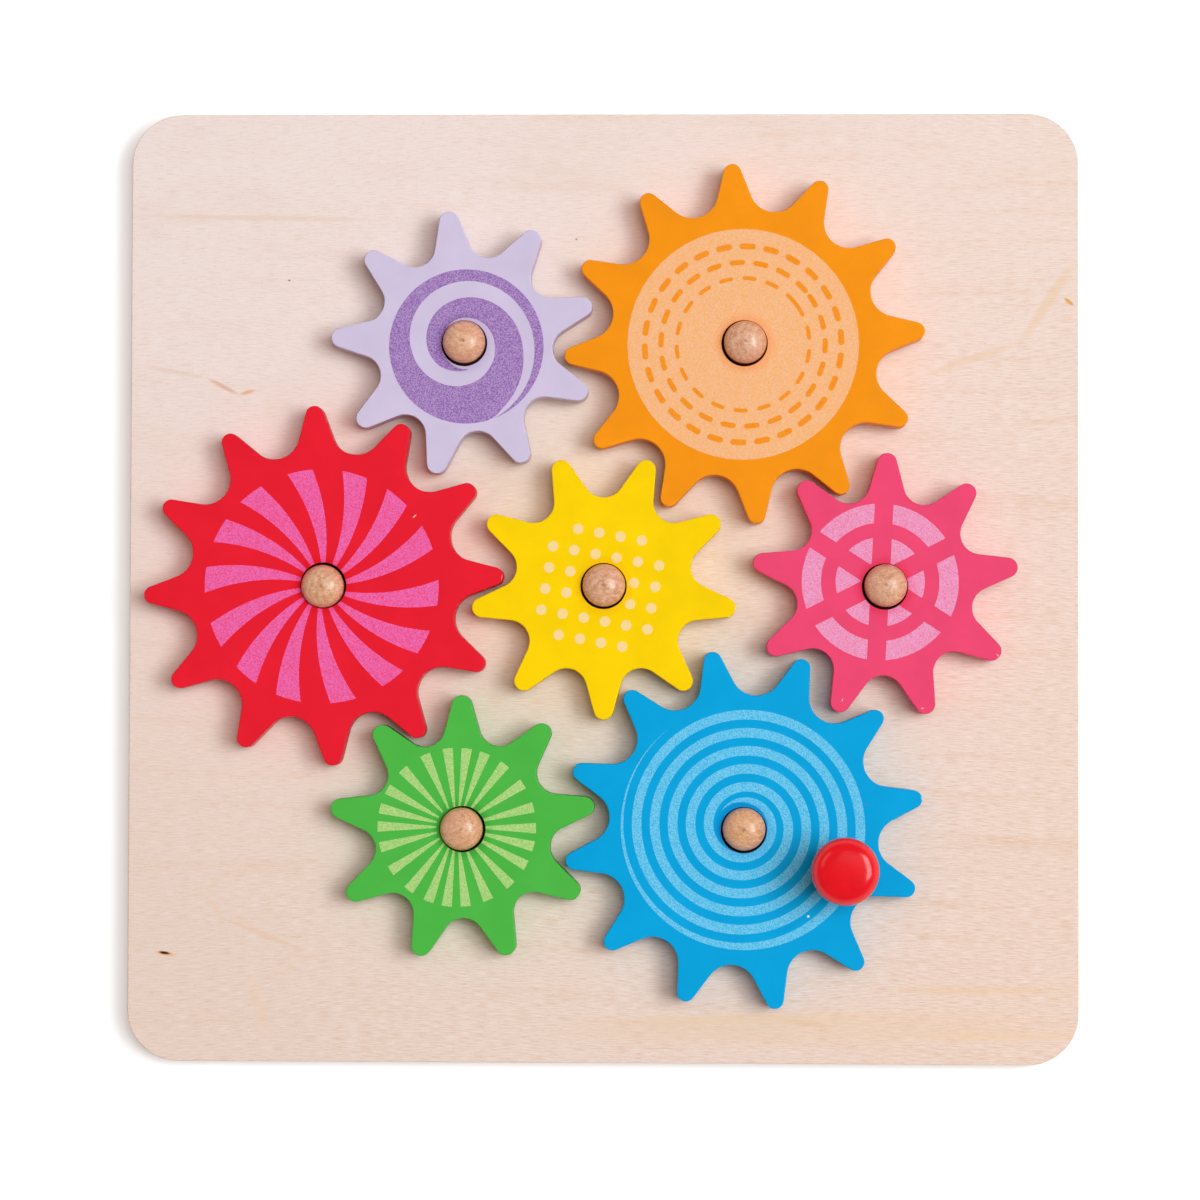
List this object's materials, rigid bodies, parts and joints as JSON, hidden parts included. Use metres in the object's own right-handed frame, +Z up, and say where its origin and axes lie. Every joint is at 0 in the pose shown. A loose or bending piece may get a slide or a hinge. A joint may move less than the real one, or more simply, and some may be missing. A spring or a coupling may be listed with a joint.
{
  "type": "crank gear toy",
  "caption": "Square plywood board with rounded corners that carries meshing painted wooden cogs on domed axle pegs, turned together by a red crank knob.",
  "frame": {"origin": "middle of the board's underside", "axes": "+Z up from the board through the cogs, +X to the right and +Y to the top edge of the board as the player sees it"},
  "size_m": [0.3, 0.3, 0.0429],
  "materials": {
    "plywood": "birch plywood under a thin clear matt varnish",
    "blue_paint": "wood under satin blue paint",
    "red_paint": "wood under satin red paint",
    "orange_paint": "wood under satin orange paint",
    "lilac_paint": "wood under satin lilac paint",
    "yellow_paint": "wood under satin yellow paint",
    "pink_paint": "wood under satin pink paint",
    "green_paint": "wood under satin green paint",
    "beech": "turned beech under clear satin varnish",
    "hardboard": "plain pressed hardboard",
    "red_gloss": "turned wood under gloss red lacquer",
    "steel": "plain zinc-plated steel"
  },
  "bodies": {
    "board": {"backboard": "plywood", "blue_axle_peg": "beech", "red_axle_peg": "beech", "orange_axle_peg": "beech", "lilac_axle_peg": "beech", "yellow_axle_peg": "beech", "pink_axle_peg": "beech", "green_axle_peg": "beech", "blue_spacer": "hardboard", "red_spacer": "hardboard", "orange_spacer": "hardboard", "lilac_spacer": "hardboard", "yellow_spacer": "hardboard", "pink_spacer": "hardboard", "green_spacer": "hardboard"},
    "blue_cog": {"blue_cog": "blue_paint", "knob_washer": "steel"},
    "red_cog": {"red_cog": "red_paint"},
    "orange_cog": {"orange_cog": "orange_paint"},
    "lilac_cog": {"lilac_cog": "lilac_paint"},
    "yellow_cog": {"yellow_cog": "yellow_paint"},
    "pink_cog": {"pink_cog": "pink_paint"},
    "green_cog": {"green_cog": "green_paint"},
    "crank_knob": {"crank_knob": "red_gloss", "knob_screw": "steel"}
  },
  "joints": [
    {"name": "blue_spin", "type": "hinge", "parent": "board", "child": "blue_cog", "pos_m": [0.0446, -0.07621, 0.0198], "axis": [0, 0, 1], "continuous": true},
    {"name": "red_spin", "type": "hinge", "parent": "board", "child": "red_cog", "pos_m": [-0.0874, 0, 0.0198], "axis": [0, 0, 1], "continuous": true},
    {"name": "orange_spin", "type": "hinge", "parent": "board", "child": "orange_cog", "pos_m": [0.0446, 0.07621, 0.0198], "axis": [0, 0, 1], "continuous": true},
    {"name": "lilac_spin", "type": "hinge", "parent": "board", "child": "lilac_cog", "pos_m": [-0.0434, 0.07621, 0.0198], "axis": [0, 0, 1], "continuous": true},
    {"name": "yellow_spin", "type": "hinge", "parent": "board", "child": "yellow_cog", "pos_m": [0.0006, 0, 0.0198], "axis": [0, 0, 1], "continuous": true},
    {"name": "pink_spin", "type": "hinge", "parent": "board", "child": "pink_cog", "pos_m": [0.0886, 0, 0.0198], "axis": [0, 0, 1], "continuous": true},
    {"name": "green_spin", "type": "hinge", "parent": "board", "child": "green_cog", "pos_m": [-0.0434, -0.07621, 0.0198], "axis": [0, 0, 1], "continuous": true},
    {"name": "knob_spin", "type": "hinge", "parent": "blue_cog", "child": "crank_knob", "pos_m": [0.07567, -0.0882, 0.0209], "axis": [0, 0, 1], "continuous": true}
  ],
  "couplings": [
    {"joint": "red_spin", "follows": "blue_spin", "ratio": 1},
    {"joint": "orange_spin", "follows": "blue_spin", "ratio": 1},
    {"joint": "lilac_spin", "follows": "blue_spin", "ratio": -1.3333},
    {"joint": "yellow_spin", "follows": "blue_spin", "ratio": -1.3333},
    {"joint": "pink_spin", "follows": "blue_spin", "ratio": -1.3333},
    {"joint": "green_spin", "follows": "blue_spin", "ratio": -1.3333}
  ]
}
